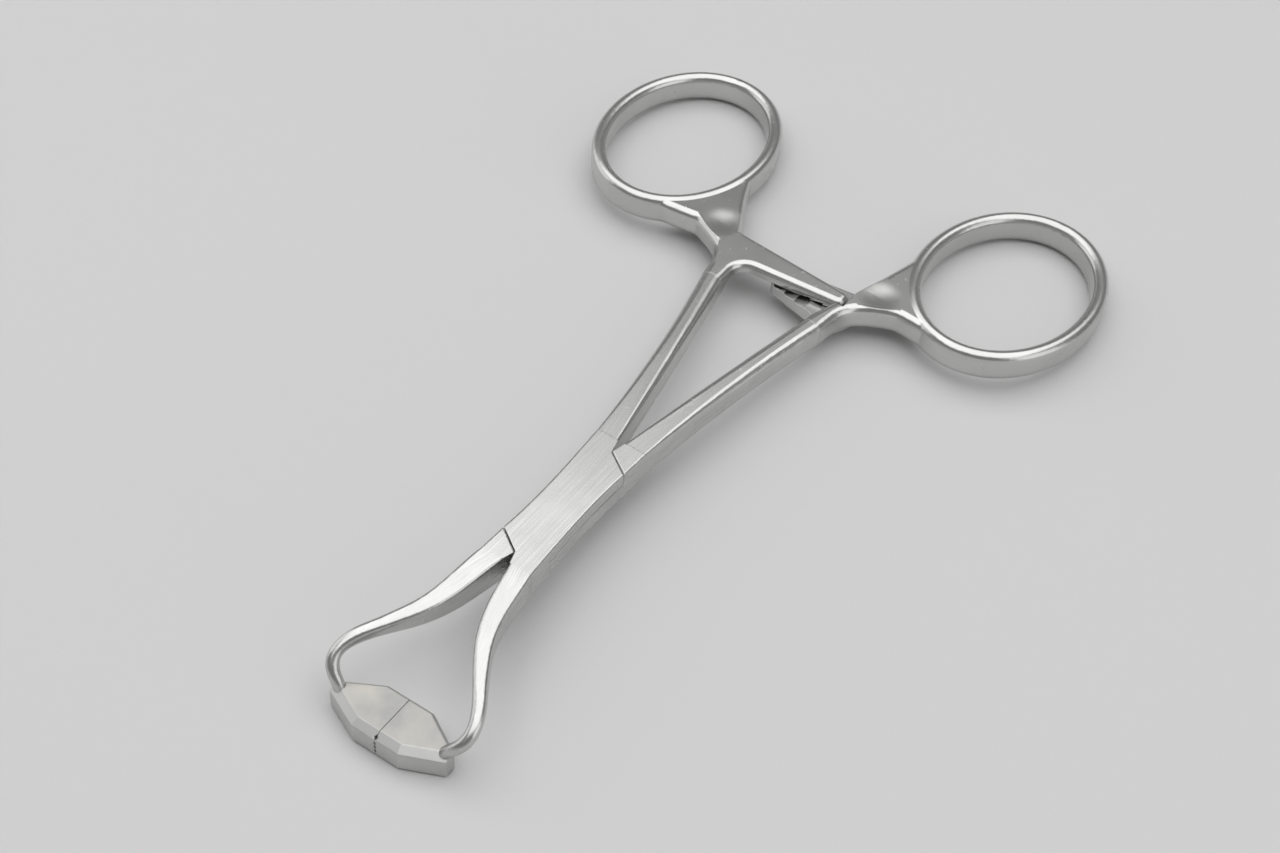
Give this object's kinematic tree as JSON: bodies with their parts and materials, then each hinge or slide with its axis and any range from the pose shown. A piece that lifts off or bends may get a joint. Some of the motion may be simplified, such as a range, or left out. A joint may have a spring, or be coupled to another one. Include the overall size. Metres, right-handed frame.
{
  "type": "towel forceps",
  "caption": "Ring-handled towel forceps with a slanted lap joint, ratchet bars and drop-set jaws that close on flat serrated pads.",
  "frame": {"origin": "on the hinge axis, at the flat underside of the joint", "axes": "+Z along the hinge axis, up through the joint; +Y from the jaws to the finger rings, midway between the closed halves; +X to the ring of the bottom half"},
  "size_m": [0.0825, 0.1284, 0.0112],
  "materials": {
    "top_half": "satin",
    "bottom_half": "satin",
    "joint_rivet": "satin"
  },
  "bodies": {
    "bottom": {"bottom_half": "bottom_half"},
    "top": {"top_half": "top_half", "joint_rivet": "joint_rivet"}
  },
  "joints": [
    {"name": "joint_hinge", "type": "hinge", "parent": "bottom", "child": "top", "pos_m": [0, 0, 0], "axis": [0, 0, 1], "range_deg": [0, 125]}
  ]
}
